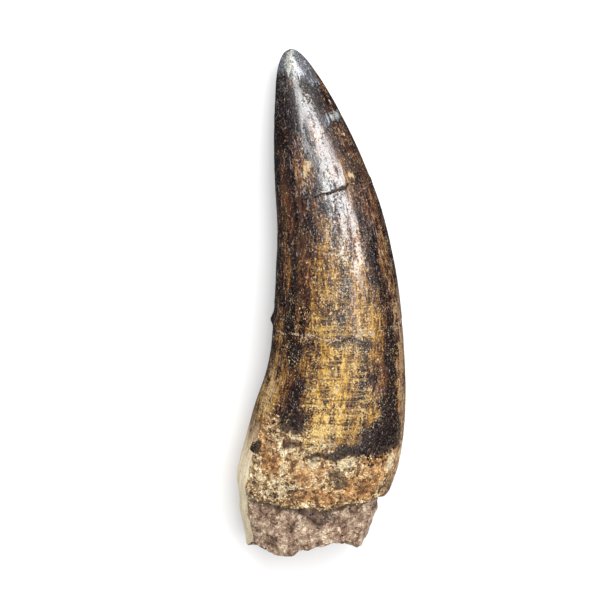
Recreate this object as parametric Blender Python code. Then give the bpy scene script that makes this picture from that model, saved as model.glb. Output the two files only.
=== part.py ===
"""A fossil tooth of a large fish-eating dinosaur, lying on its side.

Metres, +Z up. The tooth's length runs along Y, with the tip towards +Y, its inner, hollow-curved
edge towards -X and its outer, swelling edge towards +X. The origin is the middle of the bottom
of its bounding box. It rests on a small worn flat under the crown.
"""

from math import cos, pi, sin, sqrt

import bmesh
import bpy
from mathutils import Vector

MM = 0.001

# Sizes along the tooth, from the broken root to the tip
LENGTH = 89.0 * MM
STEP_AT = 6.4 * MM
STEP_RUN = 1.0 * MM

# Edges as seen from above: distance from the broken end, place across the tooth, both in mm
INNER_EDGE = (
    (0.0, -13.2), (3.3, -14.1), (6.4, -14.8), (11.9, -15.15), (18.5, -13.65), (25.9, -11.6),
    (32.3, -9.5), (39.8, -8.6), (47.9, -8.1), (56.0, -7.7), (65.8, -8.1), (76.4, -8.3), (85.2, -7.85),
)
OUTER_EDGE = (
    (0.0, 8.9), (3.3, 9.6), (6.4, 10.5), (7.4, 11.7), (9.2, 12.5), (12.9, 13.8), (18.5, 14.9),
    (25.9, 15.3), (33.3, 15.1), (40.6, 14.6), (47.9, 13.75), (55.1, 12.3), (62.3, 10.3), (69.4, 7.55),
    (76.4, 4.2), (81.7, 1.15), (85.2, -1.15),
)

# Half the thickness, from the broken end: it doesn't follow the flare of the inner edge
HALF_THICKNESS = (
    (0.0, 9.25), (3.3, 9.5), (6.4, 9.75), (7.4, 10.2), (9.2, 10.45), (14.0, 10.65), (22.0, 10.5),
    (30.0, 10.2), (40.0, 9.7), (50.0, 9.0), (60.0, 8.0), (70.0, 6.65), (76.0, 5.5), (81.7, 4.0),
    (85.2, 2.88),
)

# The rounded tip: a paraboloid that starts here and ends at this place across
TIP_FROM = 81.7 * MM
TIP_ACROSS = -5.25 * MM

# Height of the underside, before the flat is worn: a long, shallow arch that turns its ends up
UNDERSIDE_LOW_AT = 30.0 * MM
UNDERSIDE_DEPTH = 0.45 * MM
UNDERSIDE_HALF_SPAN = 19.0 * MM
ROOT_LIFT = 0.6 * MM

# The broken end: a wall of dentine round a filled, slightly sunken pulp cavity
WALL_SHARE = 0.27
CAVITY_SINK = 1.2 * MM
BREAK_SLANT = 0.05

AROUND = 48
ALONG = 46
TIP_RINGS = 7
SECTION_POWER = 2.15


def smooth_curve(points, at):
    """Value of a smooth curve through the points: cubics that share a mean slope at each point."""
    xs = [p[0] * MM for p in points]
    ys = [p[1] for p in points]
    runs = [xs[i + 1] - xs[i] for i in range(len(xs) - 1)]
    rises = [(ys[i + 1] - ys[i]) / runs[i] for i in range(len(runs))]
    slopes = [rises[0]]
    for before, after in zip(rises, rises[1:]):
        slopes.append(0.5 * (before + after))
    slopes.append(rises[-1])
    i = 0
    while i < len(runs) - 1 and at > xs[i + 1]:
        i += 1
    t = (at - xs[i]) / runs[i]
    start = (1 + 2 * t) * (1 - t) ** 2 * ys[i] + t * (1 - t) ** 2 * slopes[i] * runs[i]
    end = t * t * (3 - 2 * t) * ys[i + 1] + t * t * (t - 1) * slopes[i + 1] * runs[i]
    return start + end


def underside(at):
    """Height of the lowest line of the tooth above the floor."""
    arch = ((at - UNDERSIDE_LOW_AT) / UNDERSIDE_HALF_SPAN) ** 2 - 1
    root = max(0.0, 1 - at / STEP_AT)
    return UNDERSIDE_DEPTH * arch + ROOT_LIFT * root


def body_section(at):
    """Centre across, centre height, half width and half thickness at a distance from the root."""
    inner = smooth_curve(INNER_EDGE, at) * MM
    outer = smooth_curve(OUTER_EDGE, at) * MM
    half_width = 0.5 * (outer - inner)
    half_thickness = smooth_curve(HALF_THICKNESS, at) * MM
    return 0.5 * (inner + outer), underside(at) + half_thickness, half_width, half_thickness


def tip_section(share):
    """A section of the rounded tip: share is 0 where it starts and 1 at its very end."""
    across, height, half_width, half_thickness = body_section(TIP_FROM)
    closing = sqrt(1 - share)
    across += (TIP_ACROSS - across) * share
    return across, height, half_width * closing, half_thickness * closing


def ring_points(at, section):
    """The points round one section, as a slightly squared oval."""
    across, height, half_width, half_thickness = section
    points = []
    for i in range(AROUND):
        angle = 2 * pi * i / AROUND
        power = 2 / SECTION_POWER
        x = abs(cos(angle)) ** power * (1 if cos(angle) > 0 else -1)
        z = abs(sin(angle)) ** power * (1 if sin(angle) > 0 else -1)
        slant = BREAK_SLANT * half_width * x * max(0.0, 1 - at / STEP_AT)
        points.append(Vector((across + half_width * x, at + slant, height + half_thickness * z)))
    return points


def stations():
    """Distances along the body: even, with two close ones at the step from root to crown."""
    crown_from = STEP_AT + STEP_RUN
    root = [STEP_AT * i / 4 for i in range(5)]
    crown = [crown_from + (TIP_FROM - crown_from) * i / ALONG for i in range(ALONG + 1)]
    return root + crown


def add_ring(mesh, points):
    """One closed loop of edges through the points."""
    verts = [mesh.verts.new(p) for p in points]
    return [mesh.edges.new((verts[i - 1], verts[i])) for i in range(len(verts))]


def loft_body(mesh):
    """The skin from the broken end to the last ring of the tip, and its two end loops."""
    rings = [add_ring(mesh, ring_points(at, body_section(at))) for at in stations()]
    for i in range(1, TIP_RINGS):
        share = 1 - (1 - i / TIP_RINGS) ** 2
        at = TIP_FROM + (LENGTH - TIP_FROM) * share
        rings.append(add_ring(mesh, ring_points(at, tip_section(share))))
    for before, after in zip(rings, rings[1:]):
        bmesh.ops.bridge_loops(mesh, edges=before + after)
    return rings[0], rings[-1]


def close_tip(mesh, loop):
    """Closes the tip with a fan round one point."""
    face = bmesh.ops.contextual_create(mesh, geom=loop)["faces"][0]
    middle = bmesh.ops.poke(mesh, faces=[face])["verts"][0]
    across, height, _, _ = tip_section(1.0)
    middle.co = Vector((across, LENGTH, height))


def close_break(mesh, loop):
    """Closes the root with a wall round the sunken filling of the pulp cavity."""
    face = bmesh.ops.contextual_create(mesh, geom=loop)["faces"][0]
    _, _, half_width, _ = body_section(0.0)
    bmesh.ops.inset_region(mesh, faces=[face], thickness=WALL_SHARE * half_width)
    bmesh.ops.inset_region(mesh, faces=[face], thickness=CAVITY_SINK, depth=-CAVITY_SINK)


def wear_flat(mesh):
    """Cuts the underside off level at the floor, and closes the cut."""
    everything = mesh.verts[:] + mesh.edges[:] + mesh.faces[:]
    cut = bmesh.ops.bisect_plane(mesh, geom=everything, plane_co=(0, 0, 0), plane_no=(0, 0, -1),
                                 clear_outer=True)
    edges = [e for e in cut["geom_cut"] if isinstance(e, bmesh.types.BMEdge)]
    bmesh.ops.contextual_create(mesh, geom=edges)


def centre_on_floor(mesh):
    """Moves the tooth so that the origin is the middle of the bottom of its box."""
    low = Vector(min(v.co[i] for v in mesh.verts) for i in range(3))
    high = Vector(max(v.co[i] for v in mesh.verts) for i in range(3))
    middle = 0.5 * (low + high)
    bmesh.ops.translate(mesh, verts=mesh.verts, vec=(-middle.x, -middle.y, -low.z))


def plain_material(name, colour, roughness):
    """A plain surface of one colour."""
    material = bpy.data.materials.new(name)
    material.use_nodes = True
    shader = material.node_tree.nodes["Principled BSDF"]
    shader.inputs["Base Color"].default_value = (*colour, 1.0)
    shader.inputs["Roughness"].default_value = roughness
    shader.inputs["Metallic"].default_value = 0.0
    return material


def build_tooth():
    """The whole tooth as one closed body."""
    mesh = bmesh.new()
    root_loop, tip_loop = loft_body(mesh)
    close_tip(mesh, tip_loop)
    close_break(mesh, root_loop)
    wear_flat(mesh)
    centre_on_floor(mesh)
    bmesh.ops.recalc_face_normals(mesh, faces=mesh.faces)
    data = bpy.data.meshes.new("tooth")
    mesh.to_mesh(data)
    mesh.free()
    data.shade_smooth()
    data.set_sharp_from_angle(angle=0.7)
    data.materials.append(plain_material("fossil_enamel", (0.16, 0.085, 0.035), 0.3))
    tooth = bpy.data.objects.new("tooth", data)
    bpy.context.scene.collection.objects.link(tooth)


for old in list(bpy.data.objects):
    bpy.data.objects.remove(old)
build_tooth()
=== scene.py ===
"""Looks of a fossil tooth that lies on its side on a pale floor, seen from above.

The tooth is shaped in millimetres and in its own round-and-along terms: s is the distance from the
broken root end towards the tip, and turn is the angle round it in degrees, 0 at the outer edge (+X),
90 at the face that the camera sees, 180 at the inner edge (-X) and 270 underneath.
"""

import math

import bpy
import numpy as np
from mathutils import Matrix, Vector, noise
from mathutils.bvhtree import BVHTree


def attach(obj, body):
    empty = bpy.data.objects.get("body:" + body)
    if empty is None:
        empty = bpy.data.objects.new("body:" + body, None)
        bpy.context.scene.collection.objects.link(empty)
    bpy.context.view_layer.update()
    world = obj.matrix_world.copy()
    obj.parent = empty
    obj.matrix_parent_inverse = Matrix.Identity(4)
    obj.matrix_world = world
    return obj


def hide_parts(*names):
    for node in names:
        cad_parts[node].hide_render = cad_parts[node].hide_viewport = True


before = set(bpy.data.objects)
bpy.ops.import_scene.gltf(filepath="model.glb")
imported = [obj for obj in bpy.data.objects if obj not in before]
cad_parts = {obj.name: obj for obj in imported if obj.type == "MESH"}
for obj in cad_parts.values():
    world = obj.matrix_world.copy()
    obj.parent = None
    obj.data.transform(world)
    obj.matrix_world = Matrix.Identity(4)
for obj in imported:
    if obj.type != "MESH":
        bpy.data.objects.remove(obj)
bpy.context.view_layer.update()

MM = 0.001

# The solid, in mm: its length, how far its leaning break reaches past s = 0, and how square its
# oval sections are
LENGTH = 89.0
BREAK_LEAN = 0.555
SECTION_POWER = 2.15

# How the solid is read: a stretch of crown and one of root, at sections so far apart. Each section
# is found in a few tries by rays from well outside, and the sections are smoothed over some of
# their neighbours. The last number is how many sections give the slope at a stretch's start
CROWN_READ = (8.6, LENGTH - 0.5)
ROOT_READ = (0.8, 6.2)
READ_EVERY = 0.25
READ_TRIES = 3
OUTSIDE = 90.0
READ_BLUR = 5
SLOPE_OVER = 8

# The fine skin: points in a ring, rings, and the share of the rings that lie along the tooth, with
# the rest on its broken end. Then how far apart they are at each s, finer at the cracks and in the
# crust, and how far from the tip they start to close up
ROUND = 286
RINGS = 346
SKIN_SHARE = 0.89
RING_SPACING = (
    (0, 0.22), (24, 0.24), (30, 0.36), (38.2, 0.36), (38.8, 0.18), (41.3, 0.18), (42, 0.36),
    (63.8, 0.36), (64.3, 0.17), (67.2, 0.17), (67.8, 0.36), (LENGTH, 0.36),
)
TIP_RINGS_FROM = 8.0

# In how many steps the ring spacing is summed up, and then read back
SPACING_STEPS = 9000
RING_STEPS = 2000

# Turns of the two worn cutting edges. Then two sides, each with its half width in degrees: where
# the crust is worn smooth, and where few grains are left on it
INNER_KEEL = 180.0
OUTER_KEEL = 2.0
WORN_CRUST = (8.0, 36.0)
FEW_GRAINS = (6.0, 30.0)

# Lines round the tooth: turn and s. The step from root to crown fades out by the inner edge, over
# so many degrees
STEP_FADES = 34.0
STEP_LINE = (
    (0, 8.6), (31, 9.5), (53, 9.4), (76, 8.5), (93, 8.3), (107, 9.0), (144, 9.4), (180, 9.2),
    (215, 8.6), (260, 9.0), (300, 8.4), (330, 8.0),
)
CRUST_TOP = (
    (0, 20.5), (25, 19.3), (50, 17.3), (75, 18.2), (97, 19.2), (115, 22.3), (130, 24.2),
    (150, 24.5), (215, 21.0), (240, 22.0), (262, 19.0), (300, 22.0), (330, 21.0),
)
MID_CRACK = (
    (0, 41.2), (20, 41.0), (48, 40.6), (62, 40.1), (77, 40.2), (90, 39.4), (100, 39.5), (119, 40.2),
    (135, 39.8), (170, 39.7), (200, 39.4), (240, 39.6), (275, 40.4), (300, 40.3), (330, 41.4),
)
UPPER_CRACK = (
    (0, 65.9), (8, 65.6), (22, 66.1), (34, 65.4), (41, 65.3), (52, 66.4), (60, 66.5), (66, 65.9),
    (74, 65.7), (84, 65.2), (91, 65.1), (97, 64.6), (120, 63.9), (300, 66.4), (335, 66.6),
)

# The cracks, their dust and a side branch: half width, and how far each wanders from its line
MID_CRACK_SHAPE = (0.22, 0.35)
MID_DUST_SHAPE = (0.26, 0.35)
BRANCH_SHAPE = (0.22, -1.1)
UPPER_CRACK_SHAPE = (0.17, 0.25)
HAIRLINE_SHAPE = (0.13, 0.25)

# The bare, smooth strip of dentine up the inner edge: from turn to turn, and from which s down to
# which it comes in
STRIP = (148.0, 213.0)
STRIP_FADE = (29.0, 14.0)

# Two holes in the crust, and the nick where the mended crack meets the inner edge: turn, s, half
# width in degrees, half length in mm, depth in mm
HOLES = ((112.0, 13.8, 2.6, 0.45, 0.40), (147.0, 19.0, 5.0, 1.0, 0.32))
NICK = (176.0, 41.1, 13.0, 0.75, 0.55)

# The tone of enamel that has no mark, how far the marks' places wander in mm, where their edges
# fade out, in half sizes, and a half width that goes right round
PLAIN_TONE = 0.205
MARK_WANDER = 1.1
MARK_EDGE = (0.5, 1.45)
ALL_ROUND = 400

# Marks on the skin. Each row: turn, s, half width in degrees, half length in mm, strength. Turns
# past 180 are on the hidden side
TONE = (
    (88, 28, 34, 9, 0.20), (90, 43, 38, 12, 0.18), (96, 26, 12, 8, 0.12), (88, 55, 27, 9, 0.08),
    (60, 41, 13, 6, 0.14), (84, 24, 26, 3, 0.07), (36, 49, 16, 8, 0.12), (117, 49, 4, 7, -0.16),
    (116, 71, 16, 6, 0.10), (94, 33, 16, 5, -0.05), (64, 27.2, 9, 2.1, 0.13),
    (102, 41.5, 8, 2.4, 0.14), (90, 37.5, 8, 2, 0.12), (132, 80, 34, 8, -0.14),
    (142, 68, 26, 9, -0.07), (60, 82, 24, 5, -0.08), (148, 33, 18, 9, 0.16), (162, 25, 22, 7, 0.26),
    (152, 50, 16, 12, 0.07), (90, 27, 8, 2.2, 0.12), (92, 57, 12, 4, 0.11),
    (84, 41.5, 14, 2.5, 0.08), (104, 21.5, 26, 3, 0.14), (140, 57, 9, 12, 0.05),
    (16, 30, 20, 15, 0.20), (266, 30, 36, 11, 0.32), (272, 47, 38, 12, 0.16),
    (215, 32, 18, 9, 0.14), (330, 70, 24, 6, 0.10),
)
STAINS = (
    (125, 36.4, 8, 2.6, 0.9), (131, 36.4, 5, 1.2, 0.6), (121, 31.6, 7, 2, 0.45),
    (123, 28.6, 6, 3, 0.85), (119, 25.4, 8, 3.0, 1.1), (112, 23.4, 5, 1.4, 0.8),
    (41, 37.5, 7, 5, 0.7), (38, 32, 8, 6, 0.85), (41, 26, 12, 5, 1.0), (44, 22, 21, 3.4, 1.1),
    (36, 20.5, 19, 2.2, 1.0), (68, 19.9, 15, 1.5, 1.0), (87, 18.7, 13, 0.9, 0.9),
    (27, 23, 8, 3, 0.8), (42, 46, 8, 6, 0.25), (48, 56, 9, 8, 0.35), (108, 39.6, 9, 0.9, 0.3),
    (86, 39.0, 11, 1.0, 0.7), (66, 38.6, 10, 1.6, 0.9), (51, 49, 3, 1.2, 0.9),
    # The row at turn 82, s 6.9 is painted shadow under the ledge of the step, not a stain
    (96, 8.1, 3, 0.9, 0.9), (82, 6.9, 14, 1.3, 0.75), (147, 19.0, 6, 1.2, 2.4),
    (137, 44, 5, 6, 0.8), (133, 53, 5, 6, 0.6), (128, 48, 4, 5, 0.5), (124, 59, 5, 6, 0.5),
    (100, 65.4, 7, 1.6, 0.7), (130, 68.5, 7, 4, 0.6), (146, 81.5, 40, 5, 1.5),
    (124, 81, 12, 4.4, 0.9), (64, 81, 18, 4, 0.9), (40, 68, 26, 2.5, 0.3),
    (80, 14.9, 3.2, 0.9, 0.7), (75, 13.6, 3.4, 0.8, 0.8), (113, 20.4, 5, 1.1, 0.7),
    (103, 20.0, 4, 0.9, 0.6), (112, 13.8, 2.2, 0.6, 1.2), (22, 13.5, 8, 3, 0.5),
    (238, 34, 9, 6, 0.9), (300, 27, 18, 5, 1.0), (286, 21.5, 20, 2, 0.9), (318, 35, 9, 8, 0.8),
    (225, 79, 34, 4.5, 0.7), (250, 58, 7, 9, 0.5), (310, 55, 9, 9, 0.5), (292, 39.6, 14, 1.4, 0.7),
    (255, 15, 5, 1.3, 0.8), (205, 17, 6, 1.6, 0.5),
)
RUST = (
    (48, 15, 14, 4.6, 0.9), (69, 13.4, 6, 1.5, 1.1), (57, 11.6, 11, 2, 0.5), (145, 23, 7, 3.4, 0.8),
    (139, 20, 6, 2.4, 1.0), (133, 14.4, 9, 4, 0.45), (127, 16.4, 9, 2.2, 0.9),
    (112, 18.4, 6, 1.1, 0.6), (92, 12.3, 15, 2.0, 0.75), (104, 15.4, 9, 1.2, 0.7),
    (80, 10.8, 16, 1.2, 0.6), (150, 33, 13, 5, 0.3), (250, 14, 15, 3.4, 0.8),
    (312, 16, 13, 3.4, 0.8), (280, 11.5, 10, 1.6, 0.6),
)
PALE = (
    (107, 69.1, 5, 1.0, 1.0), (52, 67.9, 4, 1.0, 1.0), (101, 13.2, 7, 1.2, 0.45),
    (75, 17.0, 7, 1.3, 1.0), (95, 17.2, 6, 1.2, 0.9), (33, 16, 5, 1.7, 1.2),
    (110, 21.6, 7, 1.1, 0.8), (90, 20.6, 9, 1.1, 0.6), (112, 19.4, 4, 0.9, 0.8),
    (118, 13, 12, 3.4, 0.6), (138, 13, 6, 1.7, 0.6), (265, 18, 9, 1.6, 0.8), (290, 14, 9, 1.6, 0.8),
    (235, 19, 8, 2.2, 0.7),
)
BLUISH = (
    (98, 89, ALL_ROUND, 4.0, 1.2), (80, 84.6, 20, 2.4, 0.35), (45, 83.5, 15, 2.6, 0.65),
    (30, 77.6, 30, 1.1, 1.2), (60, 77.2, 12, 0.9, 0.45), (146, 80.5, 22, 3.4, 0.42),
    (240, 84, 24, 3, 0.5), (320, 77.2, 22, 1.2, 0.6),
)
IVORY = (
    (108, 87.2, 27, 2.0, 0.8), (100, 88.8, ALL_ROUND, 0.9, 0.3), (104, 84.6, 10, 2.0, 0.4),
    (36, 77.9, 17, 0.9, 0.8),
)
DULL = (
    (56, 82.6, 24, 3.2, 0.5), (20, 80, 20, 6, 0.2), (142, 80, 22, 6, 0.15), (90, 55, 17, 5, 0.12),
    (54, 31, 30, 12, 0.15), (96, 80, 11, 4, -0.12),
)
# Where the painted glints go: pale streaks in the colour that stand in for small highlights
GLINTS = (
    (110, 71, 20, 6.5, 0.7), (136, 81, 20, 3, 0.4), (60, 75, 22, 6, 0.2), (96, 60, 34, 8, 0.4),
    (40, 62, 14, 8, 0.4), (240, 70, 40, 12, 0.5), (320, 66, 30, 10, 0.4),
)
PINKISH = (
    (152, 28, 15, 8, 0.7), (8, 32, 20, 15, 0.9), (4, 46, 18, 9, 0.5), (12, 22, 15, 5, 0.8),
    (345, 34, 16, 14, 0.6), (60, 60, 30, 8, 0.25), (38, 44, 14, 8, 0.3), (75, 10, 60, 6, 0.3),
)

# How the gloss grows up the crown: from and to which s, by how much, and from what
POLISH = (36.0, 80.0, 0.19, -0.02)

# Grains of sand. Each kind: the fineness of its ball, how many, and what its radius is multiplied
# by. Then the least and most of the radius, in mm, of the way out of the skin, in radii, where less
# than 0 is sunk, and of the stretch three ways. Last the depth of the dents, the least height above
# the floor, in mm, and how much a grain is flattened against the skin
GRAIN_SEED = 20
GRAIN_KINDS = ((2, 90, 1.35), (1, 4000, 1.0))
GRAIN_RADIUS = (0.10, 0.30)
GRAIN_SUNK = (-0.50, -0.20)
GRAIN_STRETCH = ((0.8, 0.65, 0.5), (1.25, 1.05, 0.85))
GRAIN_DENTS = 0.16
GRAIN_LOWEST = 0.02
FLATTENED = 0.45

# Colours along a value: place, red, green and blue as on a screen, 0 to 255
ENAMEL_TONES = (
    (0.0, 10, 5, 8), (0.12, 28, 15, 16), (0.27, 66, 38, 26), (0.42, 106, 70, 32),
    (0.58, 152, 110, 30), (0.78, 192, 149, 54), (1.0, 226, 192, 100),
)
PINKISH_TONES = ((0.36, 112, 80, 64), (0.5, 158, 122, 98), (0.64, 196, 166, 138))
STAIN_TONES = ((0.38, 13, 8, 11), (0.57, 38, 26, 26), (0.73, 104, 82, 62))
BLUISH_TONES = ((0.34, 40, 40, 38), (0.5, 78, 80, 82), (0.64, 168, 176, 194))
BARE_TONES = ((0.1, 108, 80, 56), (0.4, 162, 134, 100), (0.65, 206, 188, 154), (0.85, 228, 214, 184))
SAND_TONES = (
    (0.0, 40, 28, 22), (0.18, 84, 60, 40), (0.33, 136, 102, 64), (0.46, 182, 144, 98),
    (0.58, 214, 182, 132), (0.7, 238, 220, 174), (0.9, 250, 244, 218),
)
RUST_TONES = ((0.1, 112, 70, 36), (0.5, 190, 134, 74), (0.9, 228, 182, 116))
PALE_TONES = ((0.36, 186, 160, 116), (0.5, 228, 210, 168), (0.64, 250, 242, 214))
ROOT_TONES = (
    (0.0, 60, 44, 36), (0.22, 106, 84, 68), (0.42, 160, 132, 112), (0.6, 196, 170, 146),
    (0.85, 232, 216, 190),
)
DARK_SAND_TONES = ((0.35, 8, 5, 8), (0.58, 24, 16, 19), (0.72, 92, 72, 58))

# Marks that the crust and the loose grains share
SAND_MARKS = ("Rust", "Pale", "Stain", "Root")

# Single colours: red, green and blue as on a screen, 0 to 255
REDDISH_BROWN = (86, 40, 30)
GROWTH_DARK = (92, 62, 30)
GROWTH_LIGHT = (208, 170, 88)
TAN_SPECK = (214, 190, 136)
GREY_GLINT = (190, 184, 190)
AMBER_STREAK = (186, 136, 72)
CREAM_SPOT = (212, 182, 136)
IVORY_TIP = (198, 200, 184)
WARM_SAND = (206, 152, 96)
# Painted shade for the hollows between the crust's grains
HOLLOW_SHADE = (84, 60, 42)
# Painted shadow under the ledge of the root step
LEDGE_SHADOW_COLOUR = (70, 50, 40)
CRACK_DUST = (196, 172, 150)
CRACK_DARK = (16, 11, 11)

# How deep the finest relief in the materials is, in metres
ENAMEL_BUMP = 0.10 * MM
GRAIN_BUMP = 0.12 * MM

# Camera: it looks down on the tooth, leaning towards the tip, and its picture is so many pixels
# across. Distances are in metres, and the sensor's width is in mm
CAMERA_LEAN = math.radians(14.0)
CAMERA_FAR = 0.45
PIXELS_PER_MM = 5.6
PICTURE = 600
CAMERA_AIM = Vector((-0.00371, 0.0, 0.009))
SENSOR = 36.0

# Floor and soft lights, in metres. Each light: from and to across, from and to along, brightness
FLOOR_SIZE = 1.3
FLOOR_COLOUR = (0.93, 0.93, 0.93, 1.0)
LIGHT_HEIGHT = 0.8
LIGHTS = {
    "low_softbox": ((0.24, 0.80), (-0.08, 0.02), 1.6),
    "softbox": ((0.02, 0.80), (0.02, 0.50), 7.0),
    "middle_softbox": ((-0.16, 0.50), (0.50, 0.80), 7.6),
    "tip_softbox": ((-0.40, 0.15), (0.80, 1.35), 7.6),
    "left_softbox": ((-0.30, -0.10), (0.26, 0.80), 5.0),
}

# The light from all round, and what of it shows in the gloss
WORLD_LIGHT = 0.48
WORLD_IN_GLOSS = 0.05


def smooth_step(low, high, value):
    """0 at low, 1 at high, and a smooth change between. Low may be the larger of the two."""
    share = np.clip((value - low) / (high - low), 0.0, 1.0)
    return share * share * (3.0 - 2.0 * share)


def bell(value, centre, width):
    """1 at the centre, fading out over about the width to each side."""
    return np.exp(-((value - centre) / width) ** 2)


def noise_at(points, size, seed, octaves=1, rough=0.5):
    """Smooth noise, about -1 to 1, with bumps of this size in mm. Each use has its own seed."""
    shift = Vector((7.3, 3.1, 5.7)) * (seed + 1.0)
    total = np.zeros(len(points))
    for level in range(octaves):
        scaled = points * (2.0 ** level / size) + np.array(shift)
        total += rough ** level * np.array([noise.noise(p) for p in scaled.tolist()])
    return total


def grains_at(points, size):
    """Rounded grains of this size in mm: 1 at the middle of a grain, 0 between grains."""
    scaled = points / size + np.array((2.9, 8.3, 1.7))
    near = [noise.voronoi(p)[0] for p in scaled.tolist()]
    return np.array([1.0 - min(1.0, 1.15 * d[0] / max(d[1], 1e-6)) for d in near])


def turn_gap(degrees, centre):
    """How many degrees past the centre each turn is, from -180 to 180."""
    return (degrees - centre + 180.0) % 360.0 - 180.0


def side(degrees, turn, wide):
    """1 at a turn, fading out over so many degrees to each side."""
    return bell(turn_gap(degrees, turn), 0.0, wide)


def spot(skin, turn, s, wide, long, strength):
    """A soft spot on the skin, from one row of numbers."""
    return strength * side(skin.degrees, turn, wide) * bell(skin.s, s, long)


def line_at(line, degrees):
    """The s of a line round the tooth, at each turn."""
    turns, places = zip(*line)
    return np.interp(degrees, turns, places, period=360)


def hit(tree, start, way):
    """Where a ray from start, in mm, meets the solid, in metres."""
    return tree.ray_cast(Vector(start) * MM, Vector(way))[0]


def read_section(tree, y, guess):
    """Centre across, centre height, half width and half thickness of the solid at y, in mm."""
    across, height = guess
    for _ in range(READ_TRIES):
        top = hit(tree, (across, y, OUTSIDE), (0, 0, -1)).z / MM
        low = hit(tree, (across, y, -OUTSIDE), (0, 0, 1)).z / MM
        height = 0.5 * (top + low)
        left = hit(tree, (-OUTSIDE, y, height), (1, 0, 0)).x / MM
        right = hit(tree, (OUTSIDE, y, height), (-1, 0, 0)).x / MM
        across = 0.5 * (left + right)
    return across, height, 0.5 * (right - left), 0.5 * (top - low)


def blur(values, reach):
    """A row of evenly spaced values, smoothed over about reach steps with its ends held."""
    steps = np.arange(-3 * reach, 3 * reach + 1)
    weights = np.exp(-0.5 * (steps / reach) ** 2)
    held = np.pad(values, 3 * reach, mode="reflect", reflect_type="odd")
    return np.convolve(held, weights / weights.sum(), mode="valid")


class Form:
    """The smooth shape of the tooth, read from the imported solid."""

    def __init__(self, cad):
        corners = [v.co for v in cad.data.vertices]
        tree = BVHTree.FromPolygons(corners, [p.vertices for p in cad.data.polygons])
        self.y_break = min(c.y for c in corners) / MM + BREAK_LEAN
        self.crown = self.read(tree, *CROWN_READ)
        self.root = self.read(tree, *ROOT_READ)

    def read(self, tree, low, high):
        """Distances and sections of a stretch, with the widths over the tip's own curve."""
        at = np.arange(low, high, READ_EVERY)
        rows = []
        guess = (0.0, 10.0)
        for s in at:
            rows.append(read_section(tree, s + self.y_break, guess))
            guess = rows[-1][:2]
        rows = np.array(rows)
        rows[:, 2:] /= np.sqrt(LENGTH - at)[:, None]
        return at, [blur(column, READ_BLUR) for column in rows.T]

    def along(self, stretch, s):
        """The section at each s. Below the stretch it carries on at half its first slope."""
        at, columns = stretch
        found = []
        for column in columns:
            slope = (column[SLOPE_OVER] - column[0]) / (at[SLOPE_OVER] - at[0])
            value = np.interp(s, at, column) + slope * np.minimum(0.0, s - at[0]) * 0.5
            found.append(value)
        spread = np.sqrt(np.maximum(0.0, LENGTH - s))
        return found[0], found[1], found[2] * spread, found[3] * spread

    def place(self, s, angle, crown_share):
        """Points of the skin in mm, and their radius. The share says how far each is crown."""
        crown = self.along(self.crown, s)
        root = self.along(self.root, s)
        across, height, wide, thick = (r + (c - r) * crown_share for c, r in zip(crown, root))
        power = 2.0 / SECTION_POWER
        x = across + wide * np.sign(np.cos(angle)) * np.abs(np.cos(angle)) ** power
        z = height + thick * np.sign(np.sin(angle)) * np.abs(np.sin(angle)) ** power
        return np.column_stack((x, s + self.y_break, z)), 0.5 * (wide + thick)


def deselect_all():
    """Leaves nothing selected, not even the solid that the frame brought in."""
    for thing in bpy.context.selected_objects:
        thing.select_set(False)


def vertex_rows(mesh, what):
    """A vertex value of the mesh as rows of three numbers."""
    values = np.empty(len(mesh.vertices) * 3)
    mesh.vertices.foreach_get(what, values)
    return values.reshape(-1, 3)


def add_values(mesh, name, values):
    """Stores a number, or a row of three, for each vertex."""
    kind, slot = ("FLOAT", "value") if values.ndim == 1 else ("FLOAT_VECTOR", "vector")
    stored = mesh.attributes.new(name, kind, "POINT").data
    stored.foreach_set(slot, values.ravel().astype(np.float32))


def ring_distances():
    """s of every ring from the tip to the broken end, as the ring spacing asks."""
    s = np.linspace(0.0, LENGTH, SPACING_STEPS)
    spacing = np.interp(s, *zip(*RING_SPACING))
    near_tip = np.maximum(LENGTH - s, 1e-3) / TIP_RINGS_FROM
    spacing = np.minimum(spacing, spacing[-1] * np.sqrt(near_tip))
    count = np.cumsum(1.0 / spacing)
    count = (count - count[0]) / (count[-1] - count[0])
    return np.interp(1.0 - np.linspace(0.0, 1.0, RING_STEPS), count, s)


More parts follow.
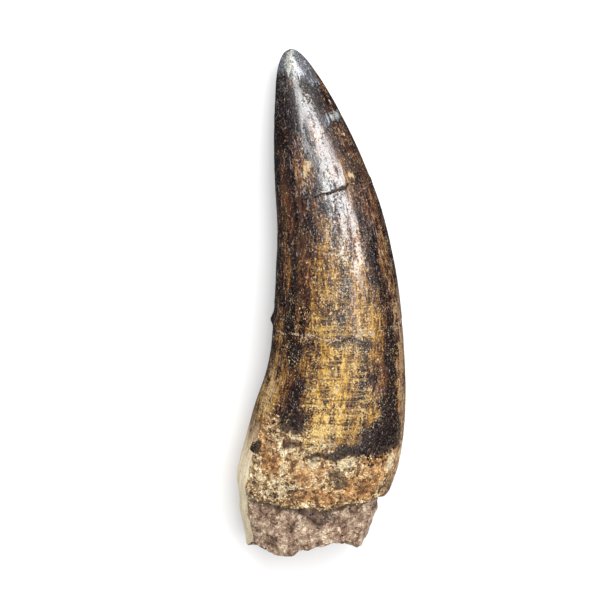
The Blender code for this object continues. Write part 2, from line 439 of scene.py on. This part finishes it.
class Skin:
    """The tooth's fine skin while it is shaped: its points, in mm, and where each is on the form."""

    def __init__(self, form):
        deselect_all()
        bpy.ops.mesh.primitive_uv_sphere_add(
            segments=ROUND, ring_count=RINGS, radius=1.0, calc_uvs=True)
        self.piece = bpy.context.object
        self.piece.name = "fossil_tooth"
        self.mesh = self.piece.data
        self.mesh.uv_layers[0].name = "OFBake"
        ball = vertex_rows(self.mesh, "co")
        share = np.arccos(np.clip(ball[:, 2], -1.0, 1.0)) / math.pi
        self.angle = np.arctan2(ball[:, 1], ball[:, 0]) - 0.5 * math.pi
        self.degrees = np.degrees(self.angle) % 360.0
        distances = ring_distances()
        self.s = np.interp(share / SKIN_SHARE, np.linspace(0.0, 1.0, len(distances)), distances)
        self.inward = np.clip((share - SKIN_SHARE) / (1.0 - SKIN_SHARE), 0.0, 1.0)
        self.lay_on(form)
        self.round_it = MARK_WANDER * noise_at(self.base, 3.4, 31, 3, 0.6)
        self.along_it = MARK_WANDER * noise_at(self.base, 3.4, 47, 3, 0.6)

    def lay_on(self, form):
        """Places every point on the smooth form, with the step between crown and root."""
        ragged = 0.5 * np.sin(self.angle * 9.0) * np.sin(self.angle * 4.0 + 1.0)
        width = 0.3 + 3.5 * side(self.degrees, INNER_KEEL, STEP_FADES)
        above = self.s - line_at(STEP_LINE, self.degrees) - ragged
        self.crown = smooth_step(-1.0, 1.0, above / width)
        self.points, self.radius = form.place(self.s, self.angle, self.crown)
        self.base = self.points.copy()
        centre = np.array(form.along(form.root, np.zeros(1))[:2]).ravel()
        for axis, middle in ((0, centre[0]), (2, centre[1])):
            self.points[:, axis] += (middle - self.points[:, axis]) * self.inward
        self.write()

    def write(self):
        """Puts the points into the mesh, with none below the floor."""
        self.points[:, 2] = np.maximum(self.points[:, 2], 0.0)
        self.mesh.vertices.foreach_set("co", (self.points * MM).ravel())
        self.mesh.update()

    def push(self, amount):
        """Moves the points along their normals, by an amount in mm for each."""
        self.points += vertex_rows(self.mesh, "normal") * amount[:, None]
        self.write()

    def marks(self, rows):
        """Adds up soft patches, with ragged edges where the skin's places wander."""
        degrees = self.degrees + np.degrees(self.round_it / np.maximum(self.radius, 3.0))
        total = np.zeros(len(self.s))
        for turn, s, wide, long, strength in rows:
            away = np.hypot(turn_gap(degrees, turn) / wide, (self.s + self.along_it - s) / long)
            total += strength * (1.0 - smooth_step(*MARK_EDGE, away))
        return total


def crack_depth(skin, line, shape):
    """1 along a wandering crack, 0 away from it. The shape is its half width and its wander."""
    width, wander = shape
    away = skin.s - line_at(line, skin.degrees) - wander * noise_at(skin.base, 1.1, 5, 2)
    return np.exp(-(away / width) ** 2)


def gentle_relief(skin):
    """Slow swells all over, and the fluting that runs up the crown."""
    stretched = skin.flow / np.array((1.3, 1.3, 12.0))
    wrinkles = skin.flow / np.array((0.55, 0.55, 4.0))
    swells = 0.10 * noise_at(skin.base, 9.0, 1) + 0.045 * noise_at(skin.base, 3.6, 2)
    flutes = 0.030 * noise_at(stretched, 1.0, 3, 2) + 0.026 * noise_at(wrinkles, 1.0, 4, 2)
    near_tip = smooth_step(LENGTH, LENGTH - 5.0, skin.s)
    polished = 1.0 - 0.75 * smooth_step(48.0, 76.0, skin.s)
    return near_tip * (swells + flutes * skin.enamel * polished)


def edge_keels(skin):
    """The worn cutting edges: a fine beaded keel up the inner edge and a fainter one opposite."""
    beads = 0.6 + 0.9 * noise_at(skin.base * np.array((0.2, 1.0, 0.2)), 1.7, 6, 2)
    inner = bell(turn_gap(skin.degrees, INNER_KEEL) * skin.radius, 0.0, 36.0)
    outer = bell(turn_gap(skin.degrees, OUTER_KEEL) * skin.radius, 0.0, 30.0)
    inner *= smooth_step(18.0, 32.0, skin.s) * smooth_step(86.0, 76.0, skin.s)
    outer *= smooth_step(42.0, 60.0, skin.s) * smooth_step(86.0, 78.0, skin.s)
    return 0.24 * beads * inner + 0.12 * beads * outer


def crack_relief(skin):
    """The two cracks, the slight step across the mended one, and the nick at its end."""
    mid = crack_depth(skin, MID_CRACK, MID_CRACK_SHAPE)
    step = 0.05 * smooth_step(0.4, -0.4, skin.s - line_at(MID_CRACK, skin.degrees))
    step *= smooth_step(26.0, 40.0, skin.s)
    return step - 0.05 * mid - 0.20 * skin.upper_crack - spot(skin, *NICK)


def crust_relief(skin):
    """The cemented sand: a thin ragged layer with grains, pits and holes, and the eroded root."""
    lumps = 0.14 * noise_at(skin.base, 2.6, 8, 2) + 0.11 * noise_at(skin.base, 0.9, 9, 2, 0.6)
    worn = 1.0 - 0.88 * side(skin.degrees, *WORN_CRUST)
    thick = skin.crust ** 2 * worn
    layer = thick * (0.12 * smooth_step(0.0, 5.0, skin.below) + lumps + 0.10 * (skin.grit - 0.5))
    root = skin.bare_root * (0.28 * noise_at(skin.base, 2.8, 10, 4, 0.5) + 0.03 * (skin.grit - 0.5))
    pits = 0.25 * (skin.crust * worn + skin.bare_root)
    pits *= smooth_step(0.34, 0.62, noise_at(skin.base, 1.3, 11))
    holes = sum(spot(skin, *row) for row in HOLES)
    ledge = bell(skin.s, line_at(STEP_LINE, skin.degrees) - 0.7, 0.55) * skin.bare_root
    return layer + root - pits - holes - 0.30 * ledge


def shape_break(skin):
    """The broken end: a rough wall of dentine round a sunken filling of sand."""
    rim = smooth_step(4.5, 0.0, skin.s)
    ragged = 1.7 * noise_at(skin.base * np.array((1.0, 0.3, 1.0)), 7.5, 12, 5, 0.55)
    ragged += side(skin.degrees, 15.0, 45.0) + 0.3
    filling = smooth_step(0.30, 0.38, skin.inward + 0.09 * noise_at(skin.points, 3.6, 15, 4, 0.6))
    wall = 0.22 * noise_at(skin.points, 0.9, 13, 2) * (skin.inward > 0.0)
    sunk = 1.15 + 0.25 * noise_at(skin.points, 2.6, 14, 2) - 0.2 * skin.grit
    skin.filling = filling
    skin.points[:, 1] += rim * ragged * (1.0 - 0.5 * filling) + wall * (1.0 - filling)
    skin.points[:, 1] += filling * sunk
    skin.points[:, 1] = np.maximum(skin.points[:, 1], skin.break_low)
    skin.write()


def find_covers(skin):
    """How far each point is strip, crust, bare root or clean enamel, and below the crust's top."""
    wander = 0.9 * noise_at(skin.base, 2.6, 21, 3, 0.6)
    below = line_at(CRUST_TOP, skin.degrees) + wander - skin.s
    degrees = skin.degrees + 3.5 * noise_at(skin.base, 2.0, 22, 3, 0.6)
    on_strip = smooth_step(-3.0, 3.0, degrees - STRIP[0])
    on_strip *= smooth_step(3.0, -3.0, degrees - STRIP[1])
    skin.strip = on_strip * smooth_step(*STRIP_FADE, skin.s + 2.0 * wander)
    skin.crust = smooth_step(-5.0, 3.6, below) * skin.crown * (1.0 - on_strip)
    skin.bare_root = (1.0 - skin.crown) * (1.0 - on_strip)
    above_strip = smooth_step(20.0, 30.0, skin.s + 30.0 * (1.0 - on_strip))
    skin.enamel = smooth_step(0.2, -0.5, below) * above_strip
    skin.below = below


def shape_tooth(form):
    """The whole skin, with every pass of relief."""
    skin = Skin(form)
    skin.break_low = skin.points[:, 1].min() - 0.5
    # Streaks are laid out on a tube that narrows less than the tooth does and closes at the tip
    reach = 6.0 * smooth_step(0.2, 3.2, skin.radius) + 0.4 * skin.radius
    skin.flow = np.column_stack((reach * np.cos(skin.angle), reach * np.sin(skin.angle), skin.s))
    find_covers(skin)
    skin.grit = grains_at(skin.points, 0.85)
    skin.upper_crack = crack_depth(skin, UPPER_CRACK, UPPER_CRACK_SHAPE)
    skin.upper_crack *= smooth_step(104.0, 94.0, skin.degrees) + 0.5 * (skin.degrees > 285.0)
    skin.push(gentle_relief(skin) + edge_keels(skin) + crack_relief(skin))
    skin.push(crust_relief(skin) * (1.0 - smooth_step(0.0, 0.1, skin.inward)))
    shape_break(skin)
    return skin


def paint_marks(skin):
    """Stores the marks, which the materials turn into colour."""
    crack = crack_depth(skin, MID_CRACK, MID_DUST_SHAPE)
    crack *= 0.3 + 0.6 * smooth_step(-0.4, 0.3, noise_at(skin.base, 1.3, 51))
    branch = crack_depth(skin, MID_CRACK, BRANCH_SHAPE)
    branch *= smooth_step(0.0, 0.3, noise_at(skin.base, 2.4, 52))
    hairline = 0.8 * crack_depth(skin, UPPER_CRACK, HAIRLINE_SHAPE)
    hairline *= smooth_step(64.0, 56.0, skin.degrees)
    # Painted shadow: a dark band just under the ledge where the root steps in below the crown
    painted_ledge_shadow = bell(skin.s, line_at(STEP_LINE, skin.degrees) - 0.45, 0.75)
    painted_ledge_shadow *= 1.0 - side(skin.degrees, INNER_KEEL, STEP_FADES)
    wall = smooth_step(0.0, 0.04, skin.inward) * (1.0 - skin.filling)
    polish_from, polish_to, polish_rise, polish_start = POLISH
    polish = polish_rise * smooth_step(polish_from, polish_to, skin.s) + polish_start
    skin.fields = {
        "tone": PLAIN_TONE + skin.marks(TONE), "stain": skin.marks(STAINS),
        "rust": skin.marks(RUST), "pale": skin.marks(PALE), "bluish": skin.marks(BLUISH),
        "pinkish": skin.marks(PINKISH), "ivory": skin.marks(IVORY), "glint": skin.marks(GLINTS),
        "crust": skin.crust, "root": np.maximum(skin.bare_root, skin.filling) * (1.0 - 0.5 * wall),
        "strip": np.maximum(skin.strip * (skin.inward == 0.0), 0.62 * wall), "grit": skin.grit,
        "painted_ledge_shadow": painted_ledge_shadow, "dust": np.maximum(np.maximum(crack, branch), hairline),
        "polish": polish - skin.marks(DULL),
        "split": skin.upper_crack * smooth_step(54.0, 62.0, skin.degrees),
    }
    for name, values in skin.fields.items():
        add_values(skin.mesh, name, values)
    across_break = skin.points[:, [0, 2, 1]]
    add_values(skin.mesh, "flow", np.where(skin.inward[:, None] > 0.0, across_break, skin.flow))


def grain_shape(fineness):
    """The corners and faces of one plain grain, a ball of few faces."""
    deselect_all()
    bpy.ops.mesh.primitive_ico_sphere_add(subdivisions=fineness, radius=1.0)
    ball = bpy.context.object
    corners = vertex_rows(ball.data, "co")
    faces = np.array([p.vertices[:] for p in ball.data.polygons])
    bpy.data.objects.remove(ball)
    return corners, faces


def turned_ways(rng, count):
    """A random turn in space for each grain, as three rows of axes."""
    axes, _ = np.linalg.qr(rng.normal(size=(count, 3, 3)))
    return axes * np.sign(np.linalg.det(axes))[:, None, None]


def scatter(skin, rng, count):
    """Points of the skin to set grains on: in the crust, the root and the filling of the break."""
    above = smooth_step(2.2, 0.0, -skin.below) * skin.enamel * 0.10
    weight = skin.crust + 0.25 * skin.bare_root * (skin.inward == 0.0) + above
    weight *= smooth_step(-0.5, 0.6, noise_at(skin.base, 2.2, 61, 2))
    weight += 1.6 * skin.filling * (1.0 - skin.inward) ** 1.2
    weight *= 1.0 - 0.75 * np.clip(skin.fields["stain"], 0.0, 1.0)
    weight *= smooth_step(0.25, 0.9, skin.points[:, 2]) * (1.0 - 0.7 * skin.fields["painted_ledge_shadow"])
    weight *= 1.0 - np.clip(1.6 * side(skin.degrees, *FEW_GRAINS), 0.0, 1.0)
    return rng.choice(len(weight), size=count, replace=False, p=weight / weight.sum())


def add_grains(skin):
    """Grains of sand, part sunk in the crust, the root and the filling, joined as one piece."""
    rng = np.random.default_rng(GRAIN_SEED)
    normals = vertex_rows(skin.mesh, "normal")
    corners, faces, marks, done = [], [], [], 0
    for fineness, count, grow in GRAIN_KINDS:
        shape, sides = grain_shape(fineness)
        places = scatter(skin, rng, count)
        radius = grow * rng.uniform(*GRAIN_RADIUS, size=count)
        stretch = rng.uniform(*GRAIN_STRETCH, size=(count, 3))
        dents = 1.0 + GRAIN_DENTS * rng.normal(size=(count, len(shape), 1))
        blanks = shape[None] * dents * stretch[:, None] * radius[:, None, None]
        turned = blanks @ turned_ways(rng, count)
        sunk = radius * rng.uniform(*GRAIN_SUNK, size=count)
        out = normals[places]
        turned -= FLATTENED * (turned @ out[:, :, None]) * out[:, None]
        centres = skin.points[places] + out * sunk[:, None]
        corners.append((turned + centres[:, None]).reshape(-1, 3))
        first = done + np.arange(count) * len(shape)
        faces.append((sides[None] + first[:, None, None]).reshape(-1, 3))
        done += count * len(shape)
        marks.append((np.repeat(places, len(shape)), np.repeat(rng.random(count), len(shape))))
    corners = np.concatenate(corners)
    corners[:, 2] = np.maximum(corners[:, 2], GRAIN_LOWEST)
    mesh = bpy.data.meshes.new("sand_grains")
    mesh.from_pydata((corners * MM).tolist(), [], np.concatenate(faces).tolist())
    grains = bpy.data.objects.new("sand_grains", mesh)
    bpy.context.scene.collection.objects.link(grains)
    at = np.concatenate([m[0] for m in marks])
    add_values(mesh, "tint", np.concatenate([m[1] for m in marks]))
    for name in SAND_MARKS:
        add_values(mesh, name.lower(), skin.fields[name.lower()][at])
    mesh.shade_smooth()
    return grains


def srgb(colour):
    """A colour as it looks on a screen, 0 to 255, as Blender's own linear numbers."""
    parts = [c / 255.0 for c in colour]
    return (*[c / 12.92 if c < 0.04045 else ((c + 0.055) / 1.055) ** 2.4 for c in parts], 1.0)


class Shade:
    """Fills in a node tree with short calls. A value is a socket, a number or a colour."""

    def __init__(self, tree):
        self.tree = tree
        self.count = 0

    def node(self, kind, inputs=None, **settings):
        """A new node with its settings made and its inputs set or linked."""
        node = self.tree.nodes.new(kind)
        node.location = (200 * (self.count % 14), -260 * (self.count // 14))
        self.count += 1
        for name, value in settings.items():
            setattr(node, name, value)
        for name, value in (inputs or {}).items():
            if isinstance(value, bpy.types.NodeSocket):
                self.tree.links.new(value, node.inputs[name])
            else:
                node.inputs[name].default_value = value
        return node

    def math(self, operation, first, second):
        """One step of arithmetic on two values."""
        return self.node("ShaderNodeMath", {0: first, 1: second}, operation=operation).outputs[0]

    def add(self, *values):
        """All the values added up."""
        total = values[0]
        for value in values[1:]:
            total = self.math("ADD", total, value)
        return total

    def times(self, first, second):
        """One value times another."""
        return self.math("MULTIPLY", first, second)

    def swing(self, value, amount):
        """A 0 to 1 value as a swing of this amount either way."""
        return self.times(self.math("SUBTRACT", value, 0.5), 2.0 * amount)

    def rise(self, value, low, high):
        """0 at low, 1 at high, and a smooth change between. Low may be the larger of the two."""
        return self.node("ShaderNodeMapRange", {0: value, 1: low, 2: high}, clamp=True,
                         interpolation_type="SMOOTHSTEP").outputs[0]

    def mix(self, share, first, second):
        """A share of the second colour over the first."""
        return self.node("ShaderNodeMix", {0: share, 6: first, 7: second}, data_type="RGBA").outputs[2]

    def ramp(self, value, stops):
        """Colours along a value: each stop is its place and its red, green and blue."""
        node = self.node("ShaderNodeValToRGB", {0: value})
        marks = node.color_ramp.elements
        while len(marks) < len(stops):
            marks.new(0.5)
        for mark, (place, *colour) in zip(marks, stops):
            mark.position = place
            mark.color = srgb(colour)
        return node.outputs[0]

    def stored(self, name, output="Fac"):
        """A value that the mesh carries."""
        return self.node("ShaderNodeAttribute", attribute_name=name).outputs[output]

    def stretched(self, place, across, along):
        """Places for a pattern that is so wide across the tooth and so long along it, in mm."""
        size = (1.0 / across, 1.0 / across, 1.0 / along)
        return self.node("ShaderNodeVectorMath", {0: place, 1: size}, operation="MULTIPLY").outputs[0]

    def noise(self, place, scale, detail, rough=0.5, distortion=0.0):
        """Cloudy noise, about 0.3 to 0.7, with scale bumps to the unit."""
        inputs = {"Vector": place, "Scale": scale, "Detail": detail, "Roughness": rough,
                  "Distortion": distortion}
        return self.node("ShaderNodeTexNoise", inputs).outputs[0]

    def cells(self, place, scale):
        """A cell pattern, with scale cells to the unit: a random number for each cell."""
        cells = self.node("ShaderNodeTexVoronoi", {"Vector": place, "Scale": scale})
        return self.node("ShaderNodeSeparateColor", {0: cells.outputs["Color"]}).outputs[0]

    def millimetres(self):
        """The place on the piece, in mm."""
        place = self.node("ShaderNodeTexCoord").outputs["Object"]
        return self.node("ShaderNodeVectorMath", {0: place, "Scale": 1.0 / MM},
                         operation="SCALE").outputs[0]


def make_sand_group():
    """Colour of cemented sand, grain by grain, which the crust and the loose grains share."""
    group = bpy.data.node_groups.new("sand_colour", "ShaderNodeTree")
    group.interface.new_socket("Place", in_out="INPUT", socket_type="NodeSocketVector")
    for name in ("Tint", *SAND_MARKS):
        group.interface.new_socket(name, in_out="INPUT", socket_type="NodeSocketFloat")
    group.interface.new_socket("Color", in_out="OUTPUT", socket_type="NodeSocketColor")
    shade = Shade(group)
    given = shade.node("NodeGroupInput").outputs
    place = given["Place"]
    specks = shade.noise(place, 4.5, 3.0, 0.7)
    flakes = shade.noise(place, 1.3, 4.0, 0.66, 0.45)
    wander = shade.noise(place, 1.4, 3.0, 0.6)
    bent = shade.node("ShaderNodeVectorMath", {0: place, 1: wander}, operation="ADD").outputs[0]
    chips = shade.cells(bent, 1.5)
    blotch = shade.noise(place, 0.5, 3.0, 0.6)
    clouds = shade.noise(place, 0.23, 2.0)
    tint = shade.add(0.415, shade.swing(given["Tint"], 0.1), shade.swing(flakes, 1.1),
                     shade.swing(blotch, 0.6), shade.swing(specks, 0.85), shade.swing(chips, 0.16))
    sand = shade.ramp(tint, SAND_TONES)
    warm = shade.rise(clouds, 0.52, 0.62)
    sand = shade.mix(shade.times(warm, 0.35), sand, srgb(WARM_SAND))
    rust = shade.rise(shade.add(given["Rust"], shade.swing(flakes, 0.9)), 0.4, 0.9)
    sand = shade.mix(shade.times(rust, 0.75), sand, shade.ramp(tint, RUST_TONES))
    pale = shade.rise(shade.add(given["Pale"], shade.swing(flakes, 1.2)), 0.4, 0.8)
    sand = shade.mix(shade.times(pale, 0.75), sand, shade.ramp(specks, PALE_TONES))
    stub = shade.add(0.45, shade.swing(blotch, 0.9), shade.swing(flakes, 0.65),
                     shade.swing(specks, 0.5))
    sand = shade.mix(shade.times(given["Root"], 0.9), sand, shade.ramp(stub, ROOT_TONES))
    stain = shade.rise(shade.add(given["Stain"], shade.swing(flakes, 1.4), shade.swing(specks, 1.2)),
                       0.5, 0.8)
    sand = shade.mix(shade.times(stain, 0.92), sand, shade.ramp(specks, DARK_SAND_TONES))
    shade.node("NodeGroupOutput", {"Color": sand})
    return group


def sand_colour(shade, group, place, tint):
    """The sand colour of a material, with the marks that its mesh carries."""
    inputs = {"Place": place, "Tint": tint}
    for name in SAND_MARKS:
        inputs[name] = shade.stored(name.lower())
    node = shade.node("ShaderNodeGroup", node_tree=group)
    for name, value in inputs.items():
        shade.tree.links.new(value, node.inputs[name])
    return node.outputs["Color"]


def new_material(name):
    """A material with node tree and shader, and the means to fill it in."""
    material = bpy.data.materials.new(name)
    material.use_nodes = True
    return material, Shade(material.node_tree), material.node_tree.nodes["Principled BSDF"]


def enamel_colour(shade, place, flow, mottle):
    """Streaked brown and ochre enamel with its stains, specks and pale patches."""
    fine = shade.noise(shade.stretched(flow, 0.36, 2.0), 1.0, 3.0, 0.6)
    middle = shade.noise(shade.stretched(flow, 1.3, 11.0), 1.0, 2.0)
    wide = shade.noise(shade.stretched(flow, 3.6, 24.0), 1.0, 2.0)
    blotch = shade.noise(place, 0.42, 3.0, 0.6)
    change = shade.add(0.94, shade.swing(fine, 1.6), shade.swing(middle, 1.4),
                       shade.swing(mottle, 1.6), shade.swing(blotch, 0.9))
    tone = shade.add(shade.times(shade.stored("tone"), change), shade.swing(wide, 0.4))
    colour = shade.ramp(tone, ENAMEL_TONES)
    reddish = shade.rise(shade.add(middle, shade.swing(blotch, 0.5)), 0.5, 0.75)
    colour = shade.mix(shade.times(reddish, 0.42), colour, srgb(REDDISH_BROWN))
    pinkish = shade.rise(shade.add(shade.stored("pinkish"), shade.swing(mottle, 1.3), shade.swing(
        blotch, 1.1), shade.swing(fine, 1.4)), 0.35, 1.15)
    colour = shade.mix(shade.times(pinkish, 0.62), colour, shade.ramp(fine, PINKISH_TONES))
    growth = shade.noise(shade.stretched(flow, 4.5, 0.36), 1.0, 2.0)
    ochre = shade.rise(shade.stored("tone"), 0.3, 0.55)
    dark_lines = shade.times(shade.rise(growth, 0.5, 0.62), ochre)
    colour = shade.mix(shade.times(dark_lines, 0.6), colour, srgb(GROWTH_DARK))
    light_lines = shade.times(shade.rise(growth, 0.48, 0.36), ochre)
    colour = shade.mix(shade.times(light_lines, 0.4), colour, srgb(GROWTH_LIGHT))
    stain = shade.add(shade.stored("stain"), shade.swing(mottle, 1.4), shade.swing(fine, 0.8),
                      shade.swing(blotch, 0.7))
    stained = shade.rise(stain, 0.42, 0.6)
    colour = shade.mix(shade.times(stained, 0.96), colour, shade.ramp(mottle, STAIN_TONES))
    specks = shade.noise(shade.stretched(flow, 0.20, 0.34), 1.0, 1.0, 0.5)
    specks = shade.add(specks, shade.swing(blotch, 0.25), shade.times(stained, -0.03),
                       shade.times(shade.stored("tone"), 0.35), -0.12)
    specks = shade.rise(specks, 0.62, 0.72)
    colour = shade.mix(shade.times(specks, 0.68), colour, srgb(TAN_SPECK))
    # Painted glints: pale streaks in the colour that stand in for small highlights
    glints = shade.noise(shade.stretched(flow, 0.24, 0.8), 1.0, 2.0, 0.5)
    glints = shade.rise(shade.add(glints, shade.times(shade.stored("glint"), 0.12)), 0.66, 0.76)
    colour = shade.mix(shade.times(glints, 0.5), colour, srgb(GREY_GLINT))
    amber = shade.rise(shade.add(fine, shade.swing(middle, 0.4), shade.swing(mottle, 0.3),
                                 shade.times(stained, -0.08)), 0.66, 0.8)
    colour = shade.mix(shade.times(amber, 0.45), colour, srgb(AMBER_STREAK))
    cream = shade.rise(shade.add(shade.stored("pale"), shade.swing(mottle, 1.2), shade.swing(
        fine, 1.2)), 0.25, 1.3)
    colour = shade.mix(shade.times(cream, 0.8), colour, srgb(CREAM_SPOT))
    bluish = shade.rise(shade.add(shade.stored("bluish"), shade.swing(blotch, 0.9),
                                  shade.swing(mottle, 0.9)), 0.35, 1.15)
    colour = shade.mix(shade.times(bluish, 0.85), colour, shade.ramp(fine, BLUISH_TONES))
    ivory = shade.rise(shade.add(shade.stored("ivory"), shade.swing(mottle, 1.2), shade.swing(
        fine, 0.9)), 0.25, 1.4)
    return shade.mix(shade.times(ivory, 0.75), colour, srgb(IVORY_TIP))


def make_tooth_material(group):
    """Glossy enamel, sandy crust, eroded root and the bare strip, all on the one skin."""
    material, shade, shader = new_material("fossil_enamel")
    place = shade.millimetres()
    flow = shade.stored("flow", "Vector")
    mottle = shade.noise(place, 2.7, 4.0, 0.66)
    colour = enamel_colour(shade, place, flow, mottle)

    grain = shade.cells(place, 1.9)
    sand = sand_colour(shade, group, place, grain)
    # Painted shade: the sand is darker in the hollows between the grains
    hollows = shade.rise(shade.stored("grit"), 0.0, 0.4)
    sand = shade.mix(hollows, shade.mix(0.45, sand, srgb(HOLLOW_SHADE)), sand)
    # Painted shadow under the ledge of the root step, darkening the sand there
    painted_ledge_shadow = shade.rise(shade.add(shade.stored("painted_ledge_shadow"), shade.swing(mottle, 0.8)), 0.45, 0.95)
    sand = shade.mix(shade.times(painted_ledge_shadow, 0.75), sand, srgb(LEDGE_SHADOW_COLOUR))
    covered = shade.add(shade.stored("crust"), shade.stored("root"))
    scattered = shade.noise(place, 1.1, 3.0, 0.6)
    crusted = shade.rise(shade.add(covered, shade.swing(scattered, 1.5), shade.swing(mottle, 0.6)),
                         0.42, 0.6)
    colour = shade.mix(crusted, colour, sand)

    fibres = shade.noise(shade.stretched(flow, 0.5, 3.0), 1.0, 3.0, 0.6)
    strip = shade.stored("strip")
    bare = shade.add(shade.times(strip, 0.75), shade.swing(fibres, 0.5), shade.swing(mottle, 0.3))
    stripped = shade.rise(shade.add(strip, shade.swing(mottle, 0.5)), 0.12, 0.42)
    unstained = shade.math("SUBTRACT", 1.0, shade.rise(shade.stored("stain"), 0.5, 0.8))
    stripped = shade.times(stripped, unstained)
    colour = shade.mix(stripped, colour, shade.ramp(bare, BARE_TONES))

    dusty = shade.rise(shade.add(shade.stored("dust"), shade.swing(mottle, 1.1)), 0.4, 0.9)
    colour = shade.mix(shade.times(dusty, 0.8), colour, srgb(CRACK_DUST))
    split = shade.rise(shade.stored("split"), 0.25, 0.7)
    colour = shade.mix(split, colour, srgb(CRACK_DARK))

    matt = shade.math("MAXIMUM", crusted, stripped)
    matt = shade.math("MAXIMUM", matt, shade.times(dusty, 0.6))
    roughness = shade.add(0.24, shade.swing(mottle, 0.3), shade.times(matt, 0.52))
    wrinkles = shade.noise(shade.stretched(flow, 0.3, 1.8), 1.0, 3.0, 0.6)
    pits = shade.noise(place, 4.0, 3.0, 0.6)
    rough = shade.times(matt, shade.noise(place, 2.4, 4.0, 0.65))
    height = shade.add(wrinkles, shade.times(pits, 0.9), shade.times(rough, 3.0))
    bump = shade.node("ShaderNodeBump", {"Height": height, "Distance": ENAMEL_BUMP, "Strength": 1.0})
    links = material.node_tree.links
    links.new(colour, shader.inputs["Base Color"])
    links.new(roughness, shader.inputs["Roughness"])
    links.new(bump.outputs[0], shader.inputs["Normal"])
    gloss = shade.math("SUBTRACT", 1.0, shade.rise(matt, 0.0, 0.4))
    wide_wear = shade.noise(shade.stretched(flow, 1.1, 4.0), 1.0, 3.0, 0.6)
    worn = shade.noise(shade.stretched(flow, 0.34, 0.9), 1.0, 4.0, 0.75)
    worn = shade.add(worn, shade.stored("polish"), shade.swing(mottle, 0.6),
                     shade.swing(wide_wear, 0.6))
    gloss = shade.times(gloss, shade.rise(worn, 0.40, 0.72))
    gloss = shade.times(gloss, shade.math("SUBTRACT", 1.0, split))
    links.new(gloss, shader.inputs["Coat Weight"])
    shader.inputs["Coat Roughness"].default_value = 0.2
    shader.inputs["Coat IOR"].default_value = 2.0
    shader.inputs["IOR"].default_value = 1.45
    return material


def make_sand_material(group):
    """Single grains of sand: each its own tint, with a dull to slightly bright surface."""
    material, shade, shader = new_material("sand_crust")
    place = shade.millimetres()
    colour = sand_colour(shade, group, place, shade.stored("tint"))
    specks = shade.noise(place, 6.0, 3.0, 0.6)
    bump = shade.node("ShaderNodeBump", {"Height": specks, "Distance": GRAIN_BUMP, "Strength": 0.8})
    links = material.node_tree.links
    links.new(colour, shader.inputs["Base Color"])
    links.new(shade.add(0.62, shade.swing(specks, 0.25)), shader.inputs["Roughness"])
    links.new(bump.outputs[0], shader.inputs["Normal"])
    return material


def add_camera():
    """The camera, at the photograph's angle to the tooth."""
    data = bpy.data.cameras.new("camera")
    data.sensor_width = SENSOR
    data.lens = data.sensor_width / (PICTURE / PIXELS_PER_MM * MM / CAMERA_FAR)
    camera = bpy.data.objects.new("camera", data)
    back = Vector((0.0, math.sin(CAMERA_LEAN), math.cos(CAMERA_LEAN)))
    camera.location = CAMERA_AIM + CAMERA_FAR * back
    camera.rotation_euler = (-CAMERA_LEAN, 0.0, 0.0)
    bpy.context.scene.collection.objects.link(camera)
    bpy.context.scene.camera = camera


def add_light(name, across, along, brightness):
    """A soft light overhead, facing down, between these places across and along, in metres."""
    data = bpy.data.lights.new(name, "AREA")
    data.shape = "RECTANGLE"
    data.size = across[1] - across[0]
    data.size_y = along[1] - along[0]
    data.energy = brightness * math.pi * data.size * data.size_y
    light = bpy.data.objects.new(name, data)
    light.location = (0.5 * sum(across), 0.5 * sum(along), LIGHT_HEIGHT)
    bpy.context.scene.collection.objects.link(light)


def add_floor():
    """A wide pale floor."""
    deselect_all()
    bpy.ops.mesh.primitive_plane_add(size=FLOOR_SIZE, location=(0, 0, 0))
    floor = bpy.context.object
    floor.name = "floor"
    material, _, shader = new_material("pale_floor")
    shader.inputs["Base Color"].default_value = FLOOR_COLOUR
    shader.inputs["Roughness"].default_value = 0.9
    shader.inputs["Specular IOR Level"].default_value = 0.1
    floor.data.materials.append(material)
    floor.visible_glossy = False


def add_world():
    """Even light from all round, dimmer where it would show as a haze in the gloss."""
    world = bpy.data.worlds.new("studio")
    bpy.context.scene.world = world
    world.use_nodes = True
    shade = Shade(world.node_tree)
    ray = shade.node("ShaderNodeLightPath").outputs
    levels = {0: ray["Is Glossy Ray"], 3: WORLD_LIGHT, 4: WORLD_IN_GLOSS}
    strength = shade.node("ShaderNodeMapRange", levels).outputs[0]
    strength = shade.math("MAXIMUM", strength, ray["Is Camera Ray"])
    background = world.node_tree.nodes["Background"]
    background.inputs["Color"].default_value = (1.0, 1.0, 1.0, 1.0)
    world.node_tree.links.new(strength, background.inputs["Strength"])


skin = shape_tooth(Form(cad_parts["tooth"]))
paint_marks(skin)
sand_group = make_sand_group()
tooth = skin.piece
tooth.data.materials.append(make_tooth_material(sand_group))
tooth.data.shade_smooth()
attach(tooth, "root")
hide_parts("tooth")

grains = add_grains(skin)
grains.data.materials.append(make_sand_material(sand_group))
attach(grains, "root")

add_camera()
add_floor()
add_world()
for light, (across, along, brightness) in LIGHTS.items():
    add_light(light, across, along, brightness)
bpy.context.scene.view_settings.view_transform = "Standard"
